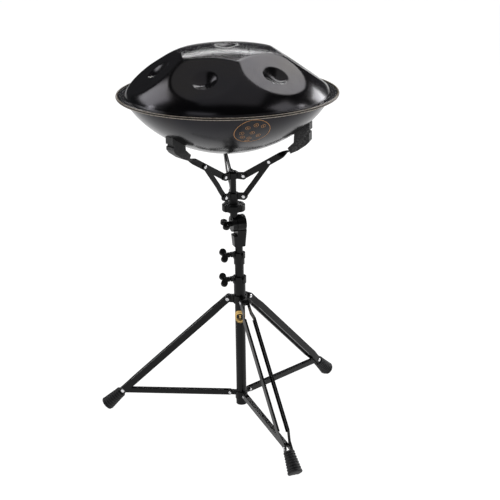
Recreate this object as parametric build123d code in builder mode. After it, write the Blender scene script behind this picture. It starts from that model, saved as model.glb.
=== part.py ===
from build123d import *
import math
import os

# A steel handpan resting in a folding three-arm cradle stand.
# Millimetres, +Z up. The origin is on the floor, on the axis of the lower tube.
# "Azimuth" is measured counter-clockwise from +X; the stand is seen from -Y.

# ---------------------------------------------------------------- driving dimensions
RUNNING_GAP = 0.1            # between tubes that slide in each other
SIDE_GAP = 0.4               # between flat pieces that turn past each other
SEAT_GAP = 0.3               # between the bowl and the rubber claws

# handpan
PAN_RADIUS = 265.0
SHELL_RADIUS = 244.0         # where dome and bowl meet the flange
DOME_HEIGHT = 128.0          # height the dome would have without its flattened top field
TOP_FIELD_HEIGHT = 112.6
TOP_FIELD_CURVE = 530.0      # radius of the slightly rounded top field
BOWL_DEPTH = 138.0
STEEL = 1.2
RIM_HEIGHT = 846.0           # flange plane above the floor
ADHESIVE = 0.6
TRIM_HEIGHT = 6.0
TRIM_WIDTH = 4.0
PORT_RADIUS = 48.0
PORT_NECK = 12.0
DIMPLE_DEPTH = 7.5
DIMPLE_SHIFT = 12.0          # of a dimple from the middle of its field, outwards
TOP_DIMPLE_RADIUS = 34.0
# note fields: azimuth, distance from the pan axis, tilt, depth below the round dome, dimple radius
FIELDS = (
    (-107.0, 160.0, 30.4, 10.5, 31.0),
    (-47.0, 160.0, 30.4, 10.5, 31.0),
    (-167.0, 160.0, 35.3, 10.5, 31.0),
    (13.0, 160.0, 35.3, 10.5, 31.0),
    (58.0, 165.0, 33.0, 4.5, 24.0),
    (103.0, 165.0, 33.0, 4.5, 24.0),
    (148.0, 165.0, 33.0, 4.5, 24.0),
)
PRINT_RADIUS = 42.0
PRINT_WIDTH = 1.6
PRINT_AZIMUTH = -74.2
PRINT_ALONG = 218.0

# cradle
PIVOT_TURN = 20.0            # the tilter axis points left and this much to the front
CRADLE_OFFSET = 12.0         # cradle axis from the tube axis, along the tilter axis
PAN_SHIFT = (-9.5, -1.7)     # the pan rests a little off the cradle axis
ARM_AZIMUTHS = {"right": -17.0, "back": 103.0, "left": -137.0}
POST_RADIUS = 7.5
HUB_PIVOT_RADIUS = 27.0
ARM_PIVOT_HEIGHT = 643.0
STRUT_PIVOT_HEIGHT = 591.5
ARM_SLOPE = 31.5
ARM_TO_STRUT = 75.0          # from the arm's hub pivot to its strut rivet
ARM_THICK = 3.0
ARM_TALL = 16.0
TWIST_START = 103.0
TWIST_END = 131.0
ARM_END = 156.0
STRUT_THICK = 2.5
STRUT_TALL = 13.0
EAR_THICK = 2.5
EAR_RADIUS = 8.5
RIVET_SHANK = 2.2
RIVET_HEAD = 4.2
HEAD_RISE = 1.6
HEAD_ROUND = 1.1
CLAW_WIDTH = 26.0
CLAW_REACH = 185.0           # where a claw carries the bowl, from the cradle axis
WHEEL_RADIUS = 28.5
WHEEL_HEIGHT = 17.0
WHEEL_BOTTOM = 554.0

# tilter and mast
TILT_HEIGHT = 520.0
DRUM_RADIUS = 21.5
LOWER_TUBE = 12.7            # outer radii
MID_TUBE = 11.1
INNER_TUBE = 9.525
WALL = 1.5
LUG_SIZE = 11.0              # square lug that carries a collar's wing screw
LUG_RISE = 3.5               # of the lug above the middle of its clamp ring
CLAMP_AZIMUTH = -60.0        # where the collars are slotted
WING_LOBE = 8.6              # wing screws
WING_THICK = 10.0
WING_HUB = 6.5

# tripod
LEG_AZIMUTHS = {"left": 170.0, "front": -68.8, "right": 50.0}
LEG_PIVOT = (30.0, 322.0)    # radius and height
FOOT_RIVET = (311.0, 53.0)
SLIDER_PIVOT = (29.0, 66.0)
LEG_EAR = 8.0                # half the thickness of a leg's ear on the hub
STRIP_TALL = 17.0
STRIP_SHEET = 1.8
STRIP_APART = 15.0           # outer face of a strip from the leg's middle, along its channel
STRIP_AT_FOOT = 9.6
FLANGE_DEPTH = 5.0
BRACE_TALL = 13.0
BRACE_WIDTH = 12.0
BRACE_SHEET = 1.6
FOOT_RADIUS = 13.8
FOOT_TIP_RADIUS = 18.6
FOOT_START = 9.0             # from the foot rivet, along the leg
FOOT_LENGTH = 53.0

# ---------------------------------------------------------------- places worked out from these
TURN = math.radians(PIVOT_TURN)
TILT_AXIS = Vector(-math.cos(TURN), -math.sin(TURN), 0)
CRADLE = TILT_AXIS * CRADLE_OFFSET
PAN = CRADLE + Vector(PAN_SHIFT[0], PAN_SHIFT[1], 0)
FLANGE_TOP = RIM_HEIGHT + ADHESIVE / 2 + STEEL
FLANGE_BOTTOM = RIM_HEIGHT - ADHESIVE / 2 - STEEL
LEG_RUN = FOOT_RIVET[0] - LEG_PIVOT[0]
LEG_DROP = LEG_PIVOT[1] - FOOT_RIVET[1]
LEG_LENGTH = math.hypot(LEG_RUN, LEG_DROP)
LEG_SLOPE = math.degrees(math.atan2(LEG_DROP, LEG_RUN))
BRACE_RUN = FOOT_RIVET[0] - SLIDER_PIVOT[0]
BRACE_DROP = SLIDER_PIVOT[1] - FOOT_RIVET[1]
BRACE_LENGTH = math.hypot(BRACE_RUN, BRACE_DROP)
BRACE_SLOPE = math.degrees(math.atan2(BRACE_DROP, BRACE_RUN))
EAR_SIDE = ARM_THICK / 2 + SIDE_GAP + EAR_THICK / 2
PAN_AXIS = Axis((PAN.X, PAN.Y, 0), (0, 0, 1))

os.makedirs("parts", exist_ok=True)


def save(piece, name):
    """Label a finished piece and write it to its own file."""
    piece.part.label = name
    export_step(piece.part, f"parts/{name}.step")


def radial_plane(azimuth, centre=Vector(0, 0, 0), side=0.0):
    """Upright plane through an axis: x is the radius, y the height, side is counter-clockwise."""
    turn = math.radians(azimuth)
    outward = Vector(math.cos(turn), math.sin(turn), 0)
    sideways = Vector(-math.sin(turn), math.cos(turn), 0)
    return Plane(origin=centre + sideways * side, x_dir=outward, z_dir=sideways * -1)


def sloped_plane(azimuth, start, slope, centre=Vector(0, 0, 0)):
    """Plane that holds a bar's length (x) and its sideways width (y); its normal is the bar's height."""
    turn = math.radians(azimuth)
    tilt = math.radians(slope)
    outward = Vector(math.cos(turn), math.sin(turn), 0)
    sideways = Vector(-math.sin(turn), math.cos(turn), 0)
    along = outward * math.cos(tilt) + Vector(0, 0, math.sin(tilt))
    origin = centre + outward * start[0] + Vector(0, 0, start[1])
    return Plane(origin=origin, x_dir=along, z_dir=along.cross(sideways))


def level(height, centre=Vector(0, 0, 0)):
    """Horizontal plane at a height, centred on an axis."""
    return Plane(origin=(centre.X, centre.Y, height))


def barrel(plane, radius, length, mode=Mode.ADD):
    """Add a cylinder that grows from a plane along its normal."""
    with BuildSketch(plane) as disc:
        Circle(radius)
    extrude(disc.sketch, amount=length, mode=mode)


def bore(plane, radius, length):
    """Cut a round hole that starts at a plane."""
    barrel(plane, radius, length, Mode.SUBTRACT)


# ---------------------------------------------------------------- handpan
def dome_height(radius, inset=0.0):
    """Height of the round dome above the flange plane at a radius."""
    share = min(radius / (SHELL_RADIUS - inset), 1.0)
    return (DOME_HEIGHT - inset) * (1 - share**1.78) ** (1 / 1.35)


def bowl_depth(radius, inset=0.0):
    """Depth of the bowl below the flange plane at a radius."""
    share = min(radius / (SHELL_RADIUS - inset), 1.0)
    return (BOWL_DEPTH - inset) * (1 - share**1.93) ** 0.727


def profile_points(height_of, inset, sign, base):
    """Points from the axis to the rim, closer together near the steep edge."""
    outer = SHELL_RADIUS - inset
    shares = [1 - (1 - step / 14) ** 2 for step in range(15)]
    return [(outer * share, base + sign * height_of(outer * share, inset)) for share in shares]


def turned_solid(height_of, inset, sign, base):
    """Add the solid under a shell profile, turned about the pan axis."""
    points = profile_points(height_of, inset, sign, base)
    with BuildSketch(radial_plane(0, PAN)) as half:
        with BuildLine():
            Spline(*points, tangents=[(1, 0), (0, -sign)])
            Line(points[-1], (0, base))
            Line((0, base), points[0])
        make_face()
    revolve(half.sketch, axis=PAN_AXIS)


def cut_note_fields(inset):
    """Flatten the dome: the faintly rounded top field and the ring of tilted fields."""
    top = FLANGE_TOP + TOP_FIELD_HEIGHT - inset
    reach = 150.0
    clear = 60.0
    with BuildSketch(radial_plane(0, PAN)) as above:
        with BuildLine():
            middle = (reach / 2, top_field_height(reach / 2, top))
            edge = (reach, top_field_height(reach, top))
            ThreePointArc((0, top), middle, edge)
            Polyline(edge, (reach, top + clear), (0, top + clear), (0, top))
        make_face()
    revolve(above.sketch, axis=PAN_AXIS, mode=Mode.SUBTRACT)
    for azimuth, radius, tilt, cut, _ in FIELDS:
        bore(field_plane(azimuth, radius, tilt, cut + inset), 160, clear)


def top_field_height(radius, top):
    """Height of the rounded top field at a radius, below its highest point."""
    return top - TOP_FIELD_CURVE + math.sqrt(TOP_FIELD_CURVE**2 - radius**2)


def field_plane(azimuth, radius, tilt, cut):
    """Plane of a tilted note field, a set distance below the round dome."""
    turn = math.radians(azimuth)
    lean = math.radians(tilt)
    outward = Vector(math.cos(turn), math.sin(turn), 0)
    normal = outward * math.sin(lean) + Vector(0, 0, math.cos(lean))
    surface = PAN + outward * radius + Vector(0, 0, FLANGE_TOP + dome_height(radius))
    return Plane(origin=surface - normal * cut, x_dir=(-math.sin(turn), math.cos(turn), 0), z_dir=normal)


def press_dimple(field, radius):
    """Press a shallow round dimple into a field, around the origin of the field's plane."""
    ball = (radius**2 + DIMPLE_DEPTH**2) / (2 * DIMPLE_DEPTH)
    half_turn = math.asin(radius / ball) / 2
    middle = (ball * math.sin(half_turn), ball - DIMPLE_DEPTH - ball * math.cos(half_turn))
    section = Plane(origin=field.origin, x_dir=field.x_dir, z_dir=field.y_dir * -1)
    clear = 4.0
    with BuildSketch(section) as lens:
        with BuildLine():
            ThreePointArc((0, -DIMPLE_DEPTH), middle, (radius, 0))
            Polyline((radius, 0), (radius, clear), (0, clear), (0, -DIMPLE_DEPTH))
        make_face()
    revolve(lens.sketch, axis=Axis(field.origin, field.z_dir), mode=Mode.SUBTRACT)


def press_dimples(inset):
    """Press the dimple of every note field of the dome."""
    top = top_field_height(TOP_DIMPLE_RADIUS, FLANGE_TOP + TOP_FIELD_HEIGHT - inset)
    press_dimple(level(top, PAN), TOP_DIMPLE_RADIUS)
    for azimuth, radius, tilt, cut, dimple in FIELDS:
        field = field_plane(azimuth, radius, tilt, cut + inset)
        field.origin = field.origin - field.y_dir * DIMPLE_SHIFT
        press_dimple(field, dimple)


def make_top_shell():
    with BuildPart() as hollow:
        turned_solid(dome_height, STEEL, 1, FLANGE_TOP)
        cut_note_fields(STEEL)
        press_dimples(STEEL)
    with BuildPart() as top_shell:
        turned_solid(dome_height, 0, 1, FLANGE_TOP)
        barrel(level(FLANGE_TOP - STEEL, PAN), PAN_RADIUS - TRIM_WIDTH / 2, STEEL)
        cut_note_fields(0)
        press_dimples(0)
        add(hollow.part, mode=Mode.SUBTRACT)
        bore(level(FLANGE_TOP - STEEL, PAN), SHELL_RADIUS - STEEL, STEEL)
    save(top_shell, "top_shell")


def make_bottom_shell():
    with BuildPart() as hollow:
        turned_solid(bowl_depth, STEEL, -1, FLANGE_BOTTOM)
    port_top = FLANGE_BOTTOM - bowl_depth(PORT_RADIUS) + PORT_NECK
    with BuildPart() as bottom_shell:
        turned_solid(bowl_depth, 0, -1, FLANGE_BOTTOM)
        barrel(level(FLANGE_BOTTOM, PAN), PAN_RADIUS - TRIM_WIDTH / 2, STEEL)
        add(hollow.part, mode=Mode.SUBTRACT)
        bore(level(FLANGE_BOTTOM, PAN), SHELL_RADIUS - STEEL, STEEL)
        barrel(level(port_top - PORT_NECK, PAN), PORT_RADIUS + STEEL, PORT_NECK)
        bore(level(FLANGE_BOTTOM - BOWL_DEPTH - 5, PAN), PORT_RADIUS, BOWL_DEPTH)
    save(bottom_shell, "bottom_shell")


def make_seam_adhesive():
    with BuildPart() as seam:
        barrel(level(RIM_HEIGHT - ADHESIVE / 2, PAN), PAN_RADIUS - TRIM_WIDTH / 2, ADHESIVE)
        bore(level(RIM_HEIGHT - ADHESIVE / 2, PAN), SHELL_RADIUS - STEEL, ADHESIVE)
    save(seam, "seam_adhesive")


def make_rim_trim():
    bottom = RIM_HEIGHT - TRIM_HEIGHT / 2
    flange = 2 * STEEL + ADHESIVE
    with BuildPart() as trim:
        barrel(level(bottom, PAN), PAN_RADIUS, TRIM_HEIGHT)
        bore(level(bottom, PAN), PAN_RADIUS - TRIM_WIDTH, TRIM_HEIGHT)
        outside = trim.edges().filter_by(GeomType.CIRCLE).sort_by(SortBy.RADIUS)[-2:]
        chamfer(outside, 1.0)
        bore(level(RIM_HEIGHT - flange / 2, PAN), PAN_RADIUS - TRIM_WIDTH / 2, flange)
    save(trim, "rim_trim")


def bowl_skin(inset):
    """The bowl's solid again, grown by a negative inset."""
    with BuildPart() as skin:
        turned_solid(bowl_depth, inset, -1, FLANGE_BOTTOM)
    return skin.part


def make_note_map_print():
    """Round outline of the printed note map, lying on the bowl."""
    turn = math.radians(PRINT_AZIMUTH)
    outward = Vector(math.cos(turn), math.sin(turn), 0)
    step = 1.0
    fall = (bowl_depth(PRINT_ALONG - step) - bowl_depth(PRINT_ALONG + step)) / (2 * step)
    normal = (outward * fall - Vector(0, 0, 1)).normalized()
    spot = PAN + outward * PRINT_ALONG + Vector(0, 0, FLANGE_BOTTOM - bowl_depth(PRINT_ALONG))
    sideways = Vector(-math.sin(turn), math.cos(turn), 0)
    film = 0.15
    with BuildPart() as outline:
        with BuildSketch(Plane(origin=spot - normal * 14, x_dir=sideways, z_dir=normal)):
            Circle(PRINT_RADIUS)
            Circle(PRINT_RADIUS - PRINT_WIDTH, mode=Mode.SUBTRACT)
        extrude(amount=24)
        add(bowl_skin(-film), mode=Mode.INTERSECT)
        add(bowl_skin(0), mode=Mode.SUBTRACT)
    save(outline, "note_map_print")


# ---------------------------------------------------------------- cradle
def add_clevis(azimuth, pivot_height, inner_radius, base, top):
    """Two upright ears on a hub, with rounded ends around the pivot."""
    for side in (-EAR_SIDE, EAR_SIDE):
        with BuildSketch(radial_plane(azimuth, CRADLE, side)) as ear:
            with Locations((HUB_PIVOT_RADIUS, pivot_height)):
                Circle(EAR_RADIUS)
            with BuildLine():
                Polyline(
                    (inner_radius, base),
                    (HUB_PIVOT_RADIUS, pivot_height - EAR_RADIUS),
                    (HUB_PIVOT_RADIUS, pivot_height + EAR_RADIUS),
                    (inner_radius, top),
                    close=True,
                )
            make_face()
            with Locations((HUB_PIVOT_RADIUS, pivot_height)):
                Circle(RIVET_SHANK, mode=Mode.SUBTRACT)
        extrude(ear.sketch, amount=EAR_THICK / 2, both=True)


def make_arm_hub(name, pivot_height, post_bore):
    """Hub ring around the post with three clevis ears."""
    half = 7.5
    ring = 13.5
    with BuildPart() as hub:
        barrel(level(pivot_height - half, CRADLE), ring, 2 * half)
        for azimuth in ARM_AZIMUTHS.values():
            add_clevis(azimuth, pivot_height, 9.0, pivot_height - half, pivot_height + half)
        for azimuth in ARM_AZIMUTHS.values():
            with BuildSketch(radial_plane(azimuth, CRADLE)):
                with Locations((HUB_PIVOT_RADIUS, pivot_height)):
                    Rectangle(2 * (HUB_PIVOT_RADIUS - ring + 1), 30)
            extrude(amount=ARM_THICK / 2 + SIDE_GAP, both=True, mode=Mode.SUBTRACT)
        bore(level(pivot_height - half, CRADLE), post_bore, 2 * half)
        fillet(hub.edges().filter_by(GeomType.CIRCLE).group_by(SortBy.RADIUS)[-1], 1.0)
    save(hub, name)


def make_hub_rivet(name, azimuth, pivot_height):
    """Rivet through both ears of a hub and the bar between them."""
    outer = EAR_SIDE + EAR_THICK / 2
    with BuildPart() as rivet:
        for side in (outer, -outer - HEAD_RISE):
            with BuildSketch(radial_plane(azimuth, CRADLE, side + HEAD_RISE)):
                with Locations((HUB_PIVOT_RADIUS, pivot_height)):
                    Circle(RIVET_HEAD)
            extrude(amount=HEAD_RISE)
        with BuildSketch(radial_plane(azimuth, CRADLE)):
            with Locations((HUB_PIVOT_RADIUS, pivot_height)):
                Circle(RIVET_SHANK)
        extrude(amount=outer, both=True)
        heads = rivet.edges().filter_by(GeomType.CIRCLE).group_by(SortBy.RADIUS)[-1]
        tips = [edge for edge in heads if side_of(edge, azimuth) > outer + HEAD_RISE / 2]
        fillet(tips, HEAD_ROUND)
    save(rivet, name)


def side_of(edge, azimuth):
    """Distance of an edge from the radial plane of the cradle."""
    turn = math.radians(azimuth)
    sideways = Vector(-math.sin(turn), math.cos(turn), 0)
    return abs((edge.arc_center - CRADLE).dot(sideways))


def make_cradle_post():
    bottom = TILT_HEIGHT + 28
    top = ARM_PIVOT_HEIGHT + 8
    with BuildPart() as post:
        barrel(level(bottom, CRADLE), POST_RADIUS, top - bottom)
        bore(level(bottom, CRADLE), POST_RADIUS - 2, top - bottom)
    save(post, "cradle_post")
    with BuildPart() as cap:
        barrel(level(top, CRADLE), POST_RADIUS + 1.8, 2.8)
        fillet(cap.edges().sort_by(Axis.Z)[-1], 1.2)
        barrel(level(top - 8, CRADLE), POST_RADIUS - 2, 8)
    save(cap, "post_cap")


def arm_frame(azimuth):
    """Plane along an arm: x is its length, y points sideways."""
    return sloped_plane(azimuth, (HUB_PIVOT_RADIUS, ARM_PIVOT_HEIGHT), ARM_SLOPE, CRADLE)


def make_arm(side_name, azimuth):
    """Flat bar on edge, twisted a quarter turn before it enters the claw."""
    frame = arm_frame(azimuth)
    along = frame.x_dir
    upright = frame.z_dir
    face = Plane(origin=frame.origin, x_dir=along, z_dir=along.cross(upright))
    with BuildPart() as arm:
        with BuildSketch(face):
            with Locations((TWIST_START / 2, 0)):
                Rectangle(TWIST_START, ARM_TALL)
            Circle(ARM_TALL / 2)
            Circle(RIVET_SHANK + SIDE_GAP / 2, mode=Mode.SUBTRACT)
        extrude(amount=ARM_THICK / 2, both=True)
        steps = 6
        for step in range(steps + 1):
            share = step / steps
            quarter = math.radians(90 * share)
            across = upright * math.cos(quarter) + frame.y_dir * math.sin(quarter)
            spot = frame.origin + along * (TWIST_START + (TWIST_END - TWIST_START) * share)
            with BuildSketch(Plane(origin=spot, x_dir=across, z_dir=along)):
                Rectangle(ARM_TALL, ARM_THICK)
        loft(ruled=True)
        with BuildSketch(frame):
            with Locations(((TWIST_END + ARM_END) / 2, 0)):
                Rectangle(ARM_END - TWIST_END, ARM_TALL)
        extrude(amount=ARM_THICK / 2, both=True)
    save(arm, f"arm_{side_name}")


def make_arm_rivet(side_name, azimuth):
    """Rivet head on the clockwise face of the arm, where the strut is pinned."""
    frame = arm_frame(azimuth)
    spot = frame.origin + frame.x_dir * ARM_TO_STRUT - frame.y_dir * (ARM_THICK / 2)
    with BuildPart() as rivet:
        barrel(Plane(origin=spot, x_dir=frame.x_dir, z_dir=frame.y_dir * -1), RIVET_HEAD, HEAD_RISE)
        tips = rivet.edges().filter_by(GeomType.CIRCLE)
        far = max(tips, key=lambda edge: (edge.arc_center - spot).length)
        fillet(far, HEAD_ROUND)
    save(rivet, f"arm_rivet_{side_name}")


def make_strut(side_name, azimuth):
    """Flat link from the sliding hub to the counter-clockwise face of the arm."""
    slope = math.radians(ARM_SLOPE)
    top = (
        HUB_PIVOT_RADIUS + ARM_TO_STRUT * math.cos(slope),
        ARM_PIVOT_HEIGHT + ARM_TO_STRUT * math.sin(slope),
    )
    rise = top[1] - STRUT_PIVOT_HEIGHT
    run = top[0] - HUB_PIVOT_RADIUS
    length = math.hypot(rise, run)
    angle = math.degrees(math.atan2(rise, run))
    frame = sloped_plane(azimuth, (HUB_PIVOT_RADIUS, STRUT_PIVOT_HEIGHT), angle, CRADLE)
    beside = ARM_THICK / 2 + SIDE_GAP + STRUT_THICK / 2
    bend_start = 24.0
    bend_end = 44.0
    half = STRUT_THICK / 2
    side_view = Plane(origin=frame.origin, x_dir=frame.x_dir, z_dir=frame.x_dir.cross(frame.z_dir))
    with BuildPart() as strut:
        with BuildSketch(frame):
            with BuildLine():
                Polyline(
                    (-STRUT_TALL / 2, -half),
                    (bend_start, -half),
                    (bend_end, beside - half),
                    (length + STRUT_TALL / 2, beside - half),
                    (length + STRUT_TALL / 2, beside + half),
                    (bend_end, beside + half),
                    (bend_start, half),
                    (-STRUT_TALL / 2, half),
                    close=True,
                )
            make_face()
        extrude(amount=STRUT_TALL / 2, both=True)
        with BuildSketch(side_view):
            with Locations((length / 2, 0)):
                SlotCenterToCenter(length, STRUT_TALL)
            Circle(RIVET_SHANK + SIDE_GAP / 2, mode=Mode.SUBTRACT)
        extrude(amount=20, both=True, mode=Mode.INTERSECT)
    save(strut, f"strut_{side_name}")


def make_claw(side_name, azimuth):
    """Moulded rubber claw: a stem over the arm's end and a two-block jaw under the bowl."""
    frame = arm_frame(azimuth)
    turn = math.radians(azimuth)
    contact = CRADLE + Vector(math.cos(turn), math.sin(turn), 0) * CLAW_REACH
    lift = bowl_depth(CLAW_REACH) - bowl_depth((contact - PAN).length)
    with BuildPart() as claw:
        with BuildSketch(radial_plane(azimuth, CRADLE)):
            with BuildLine():
                Polyline(
                    (141, 723),
                    (148, 709.5),
                    (166, 718),
                    (187, 733),
                    (194, 742),
                    (194, 755 + lift),
                    (190, 757 + lift),
                    (190, 760 + lift),
                    (195, 762 + lift),
                    (195, 779 + lift),
                    (188, 784 + lift),
                    (158, 762 + lift),
                    (156, 737),
                    close=True,
                )
            make_face()
        extrude(amount=CLAW_WIDTH / 2, both=True)
        with BuildSketch(frame):
            with Locations((ARM_END / 2, 0)):
                Rectangle(ARM_END, ARM_TALL)
        extrude(amount=ARM_THICK / 2, both=True, mode=Mode.SUBTRACT)
        add(bowl_skin(-SEAT_GAP), mode=Mode.SUBTRACT)
    save(claw, f"claw_{side_name}")


def make_spread_wheel():
    """Five-lobed hand wheel under the sliding hub."""
    hub_bottom = STRUT_PIVOT_HEIGHT - 7.5
    lobes = 5
    with BuildPart() as wheel:
        barrel(level(WHEEL_BOTTOM, CRADLE), WHEEL_RADIUS, WHEEL_HEIGHT)
        fillet(wheel.edges(), 2.5)
        with BuildSketch(level(WHEEL_BOTTOM, CRADLE)):
            with PolarLocations(WHEEL_RADIUS + 1.5, lobes, start_angle=18):
                Circle(6.5)
        extrude(amount=WHEEL_HEIGHT, mode=Mode.SUBTRACT)
        barrel(level(WHEEL_BOTTOM - 4, CRADLE), 12, 4)
        barrel(level(WHEEL_BOTTOM + WHEEL_HEIGHT, CRADLE), 11, hub_bottom - WHEEL_BOTTOM - WHEEL_HEIGHT - 0.3)
        bore(level(WHEEL_BOTTOM - 4, CRADLE), POST_RADIUS + 0.3, 40)
    save(wheel, "spread_wheel")


# ---------------------------------------------------------------- tilter
def tilt_plane(along):
    """Plane across the tilter axis; its normal points left and to the front."""
    origin = TILT_AXIS * along + Vector(0, 0, TILT_HEIGHT)
    toward_front = Vector(0, 0, 1).cross(TILT_AXIS)
    return Plane(origin=origin, x_dir=toward_front, z_dir=TILT_AXIS)


def turned_level(height, centre=Vector(0, 0, 0)):
    """Horizontal plane whose x runs along the tilter axis."""
    return Plane(origin=(centre.X, centre.Y, height), x_dir=TILT_AXIS, z_dir=(0, 0, 1))


def make_tilter_lower_half():
    """Drum of the tilter with the tapered socket for the inner tube."""
    socket_bottom = 462.0
    drum_right = -15.0
    drum_left = 7.6
    with BuildPart() as lower:
        with BuildSketch(turned_level(socket_bottom)):
            RectangleRounded(28, 28, 6)
        with BuildSketch(turned_level(TILT_HEIGHT - 16)):
            RectangleRounded(35, 33, 6)
        loft()
        with BuildSketch(turned_level(TILT_HEIGHT - 30)):
            with Locations((20, 0)):
                Rectangle(24, 40)
        extrude(amount=40, mode=Mode.SUBTRACT)
        barrel(tilt_plane(drum_right), DRUM_RADIUS, drum_left - drum_right)
        bore(level(socket_bottom), INNER_TUBE, 30)
        bore(tilt_plane(drum_left - 20), 3.2, 20)
        rims = lower.edges().filter_by(GeomType.CIRCLE).group_by(SortBy.RADIUS)[-1]
        fillet(rims.sort_by(Axis.X)[-1], 2.0)
    save(lower, "tilter_lower_half")


def make_tilter_upper_half():
    """Toothed disc beside the drum, with the neck that carries the cradle post."""
    disc_right = 8.0
    disc_left = 19.0
    neck_top = TILT_HEIGHT + 29.6
    teeth = 24
    tooth_turns = [math.tau * tooth / teeth for tooth in range(teeth)]
    with BuildPart() as upper:
        barrel(level(TILT_HEIGHT + 10, CRADLE), 9.2, neck_top - TILT_HEIGHT - 10)
        with BuildSketch(tilt_plane(-20)):
            Circle(DRUM_RADIUS + 0.5)
        extrude(amount=20 + disc_right, mode=Mode.SUBTRACT)
        barrel(tilt_plane(disc_right), 20, disc_left - disc_right)
        with BuildSketch(tilt_plane(disc_left - 1)):
            with Locations([(17.5 * math.cos(turn), 17.5 * math.sin(turn)) for turn in tooth_turns]):
                Circle(1.1)
        extrude(amount=1, mode=Mode.SUBTRACT)
        bore(level(TILT_HEIGHT + 28, CRADLE), POST_RADIUS, 20)
        bore(tilt_plane(disc_right), 3.4, 12)
    save(upper, "tilter_upper_half")


def wing_screw(name, tip, axis_direction, shank_length, shank_radius, roll):
    """Wing screw: shank along its axis from the tip, a hub and two round wings."""
    sideways = Vector(0, 0, 1).cross(axis_direction)
    turn = math.radians(roll)
    across = Vector(0, 0, 1) * math.cos(turn) + sideways * math.sin(turn)
    hub_start = tip + axis_direction * shank_length
    wing_middle = hub_start + axis_direction * 14
    lobe = 9.5
    wing_flat = Plane(origin=wing_middle, x_dir=across, z_dir=across.cross(axis_direction))
    with BuildPart() as screw:
        with BuildSketch(wing_flat) as wings:
            with Locations((lobe, 1.5), (-lobe, 1.5)):
                Circle(WING_LOBE)
            Rectangle(2 * lobe, 10)
            fillet(wings.vertices(), 2.0)
        extrude(amount=WING_THICK / 2, both=True)
        flat_faces = screw.faces().filter_by(GeomType.PLANE).sort_by(SortBy.AREA)[-2:]
        fillet(flat_faces.edges(), 2.0)
        barrel(Plane(origin=tip, x_dir=across, z_dir=axis_direction), shank_radius, shank_length)
        barrel(Plane(origin=hub_start, x_dir=across, z_dir=axis_direction), WING_HUB, 15)
    save(screw, name)


# ---------------------------------------------------------------- mast
def make_tube(name, radius, bottom, top):
    with BuildPart() as tube:
        barrel(level(bottom), radius, top - bottom)
        bore(level(bottom), radius - WALL, top - bottom)
    save(tube, name)


def make_collar(name, tube_radius, inner_radius, bottom, step, top, ring, wide):
    """Split collar: a plain ring, a wider clamp with a V-notched slot, and a lug for its screw."""
    bush_radius = inner_radius + 1.3
    lug_height = (step + top) / 2 + LUG_RISE
    slot = 1.0
    notch_half = 5.0
    notch_depth = 7.0
    with BuildPart() as collar:
        barrel(level(bottom), ring, step - bottom)
        barrel(level(step), wide, top - step)
        with BuildSketch(turned_level(lug_height - LUG_SIZE / 2)):
            with Locations((wide + 1.5, 0)):
                RectangleRounded(12, LUG_SIZE, 2.5)
        extrude(amount=LUG_SIZE)
        with BuildSketch(radial_plane(CLAMP_AZIMUTH)):
            with Locations((wide, (step + top) / 2 + 2)):
                Rectangle(16, top - step)
        extrude(amount=slot, both=True, mode=Mode.SUBTRACT)
        across = radial_plane(CLAMP_AZIMUTH).z_dir
        outward = radial_plane(CLAMP_AZIMUTH).x_dir
        with BuildSketch(Plane(origin=(0, 0, top), x_dir=across * -1, z_dir=outward)):
            with BuildLine():
                Polyline((-notch_half, 0.01), (0, -notch_depth), (notch_half, 0.01), close=True)
            make_face()
        extrude(amount=wide + 2, mode=Mode.SUBTRACT)
        bore(level(bottom), tube_radius, step - bottom)
        bore(level(step), bush_radius, top - step)
        shaft = Plane(origin=(0, 0, lug_height), x_dir=(0, 0, 1), z_dir=TILT_AXIS)
        bore(shaft, 3.3, wide + 12)
    save(collar, name)
    with BuildPart() as bush:
        barrel(level(step), bush_radius, top - step)
        bore(level(step), inner_radius + RUNNING_GAP, top - step)
    save(bush, name.replace("collar", "bush"))
    tip = TILT_AXIS * (bush_radius + 0.5) + Vector(0, 0, lug_height)
    wing_screw(name.replace("collar", "wing_screw"), tip, TILT_AXIS, wide + 9 - bush_radius, 3.0, -45)


# ---------------------------------------------------------------- tripod
def make_leg_hub():
    """Hub fixed to the lower tube, with a thick ear for each leg."""
    half = 10.0
    ring = 17.0
    with BuildPart() as hub:
        barrel(level(LEG_PIVOT[1] - half), ring, 2 * half)
        for azimuth in LEG_AZIMUTHS.values():
            with BuildSketch(radial_plane(azimuth)):
                with Locations((LEG_PIVOT[0] / 2 + 2, LEG_PIVOT[1])):
                    Rectangle(LEG_PIVOT[0] - 4, 17)
                with Locations(LEG_PIVOT):
                    Circle(8.5)
            extrude(amount=LEG_EAR, both=True)
        bore(level(LEG_PIVOT[1] - half), LOWER_TUBE, 2 * half)
    save(hub, "leg_hub")


def make_brace_hub():
    """Hub that slides on the lower tube, with a narrow ear for each brace."""
    bottom = 51.3
    height = 20.7
    with BuildPart() as hub:
        barrel(level(bottom), 15.5, height)
        for azimuth in LEG_AZIMUTHS.values():
            with BuildSketch(radial_plane(azimuth)):
                with Locations((SLIDER_PIVOT[0] / 2 + 2, SLIDER_PIVOT[1])):
                    Rectangle(SLIDER_PIVOT[0] - 4, 12)
                with Locations(SLIDER_PIVOT):
                    Circle(6)
            extrude(amount=4, both=True)
        bore(level(bottom), LOWER_TUBE + RUNNING_GAP, height)
        fillet(hub.edges().filter_by(GeomType.CIRCLE).group_by(SortBy.RADIUS)[-1], 1.0)
    save(hub, "brace_hub")


def make_end_cap():
    with BuildPart() as cap:
        barrel(level(36), 13.6, 5)
        fillet(cap.edges().sort_by(Axis.Z)[0], 2.0)
        barrel(level(41), 13.6, 10)
        bore(level(38), LOWER_TUBE, 13)
        barrel(level(38), LOWER_TUBE - WALL, 16)
    save(cap, "end_cap")


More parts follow.
